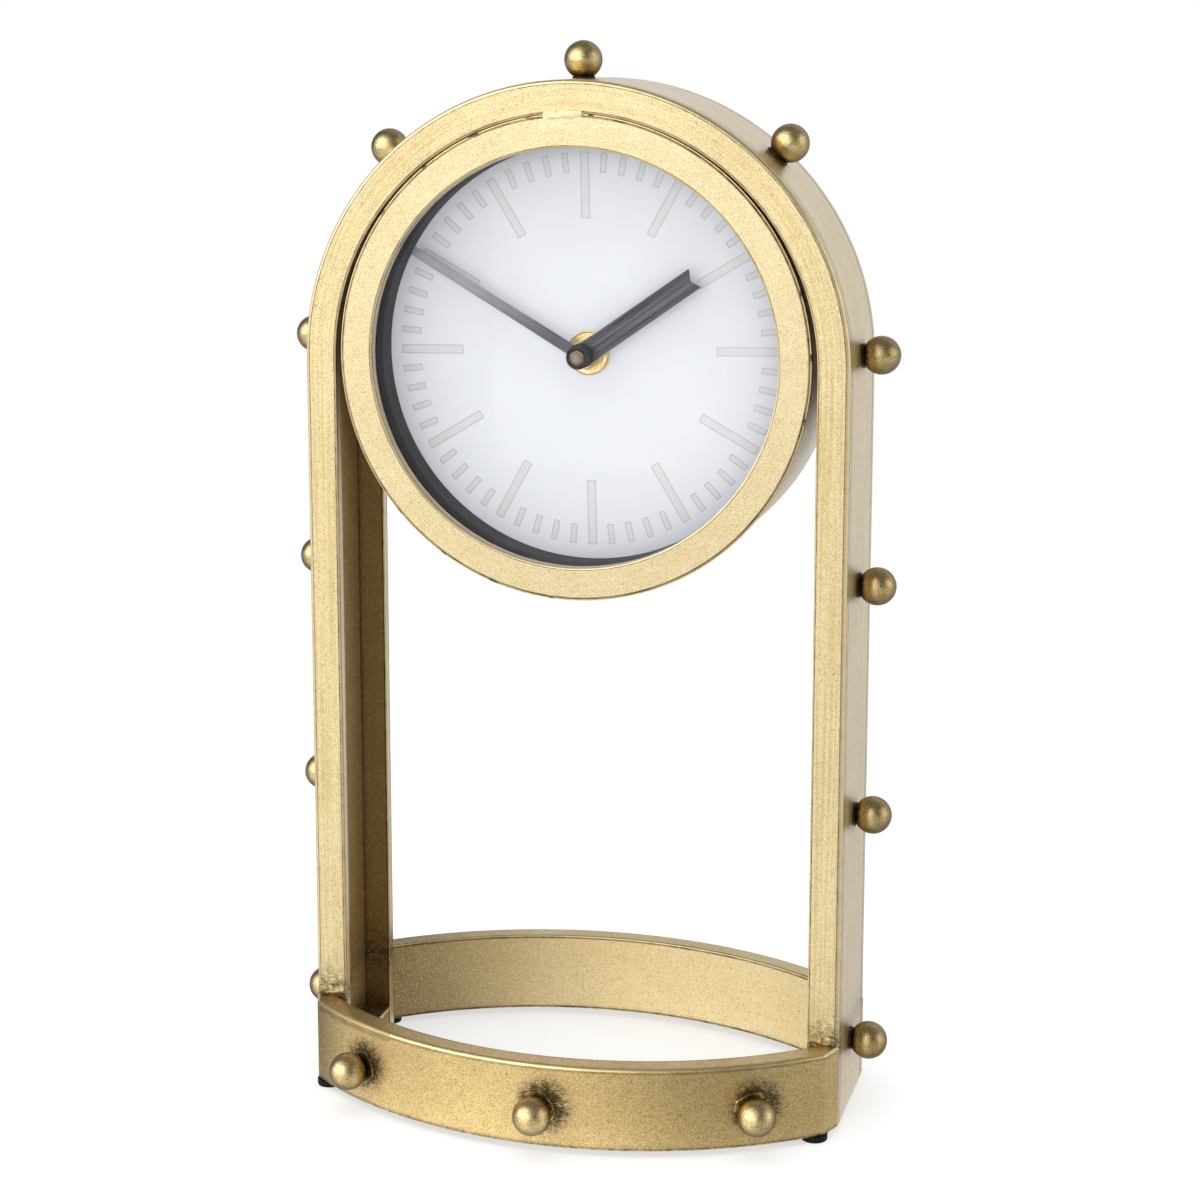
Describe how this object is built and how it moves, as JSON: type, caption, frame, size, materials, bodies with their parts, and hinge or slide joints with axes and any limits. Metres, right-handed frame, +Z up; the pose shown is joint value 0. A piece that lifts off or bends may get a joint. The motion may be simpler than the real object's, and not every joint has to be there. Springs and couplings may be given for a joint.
{
  "type": "arched table clock",
  "caption": "Table clock with a round drum case hung in a tall open arch of brass plate on a lens-shaped ring base, trimmed with ball studs.",
  "frame": {"origin": "on the table, under the middle of the base", "axes": "+X to the viewer's right, +Y to the back of the clock, +Z up"},
  "size_m": [0.2382, 0.1758, 0.4086],
  "materials": {
    "antique_brass": "brushed, lacquered and darkened in the corners",
    "polished_brass": "polished",
    "rubber_black": "matt",
    "clear_glass": "polished",
    "dial_white": "matt",
    "hand_charcoal": "brushed, charcoal lacquer",
    "movement_black": "satin",
    "gear_white": "satin",
    "steel": "satin",
    "battery_wrap": "gloss",
    "circuit_green": "satin",
    "copper_winding": "varnished copper wire"
  },
  "bodies": {
    "frame": {"arch_front_plate": "antique_brass", "arch_rear_plate": "antique_brass", "arch_web": "antique_brass", "foot_plates": "antique_brass", "foot_welds": "antique_brass", "base_front_band": "antique_brass", "base_rear_band": "antique_brass", "rubber_pads": "rubber_black", "arch_studs": "antique_brass", "front_studs": "antique_brass", "rear_studs": "antique_brass", "front_bridge": "antique_brass", "rear_bridge": "antique_brass", "front_ring": "antique_brass", "drum_shell": "antique_brass", "board_tabs": "antique_brass", "glass": "clear_glass", "glass_gasket": "rubber_black", "dial_spacer": "dial_white", "dial_board": "dial_white", "movement_case": "movement_black", "movement_cover": "movement_black", "train_plate": "movement_black", "centre_bush": "polished_brass", "bush_washer": "polished_brass", "bush_nut": "polished_brass", "battery": "battery_wrap", "positive_contact": "steel", "negative_contact": "steel", "circuit_board": "circuit_green", "coil": "copper_winding"},
    "minute_set": {"minute_arbor": "steel", "minute_hand": "hand_charcoal", "hand_nut": "polished_brass"},
    "hour_set": {"hour_wheel": "gear_white", "hour_hand": "hand_charcoal"},
    "setting_set": {"setting_wheel": "gear_white", "setting_knob": "movement_black"}
  },
  "joints": [
    {"name": "minute_turn", "type": "hinge", "parent": "frame", "child": "minute_set", "pos_m": [0, 0, 0.2914], "axis": [0, 1, 0], "continuous": true},
    {"name": "hour_turn", "type": "hinge", "parent": "frame", "child": "hour_set", "pos_m": [0, 0, 0.2914], "axis": [0, 1, 0], "continuous": true},
    {"name": "setting_turn", "type": "hinge", "parent": "frame", "child": "setting_set", "pos_m": [0.00831, 0, 0.2962], "axis": [0, 1, 0], "continuous": true}
  ],
  "couplings": [
    {"joint": "hour_turn", "follows": "minute_turn", "ratio": 0.083333},
    {"joint": "setting_turn", "follows": "minute_turn", "ratio": -0.33333}
  ]
}
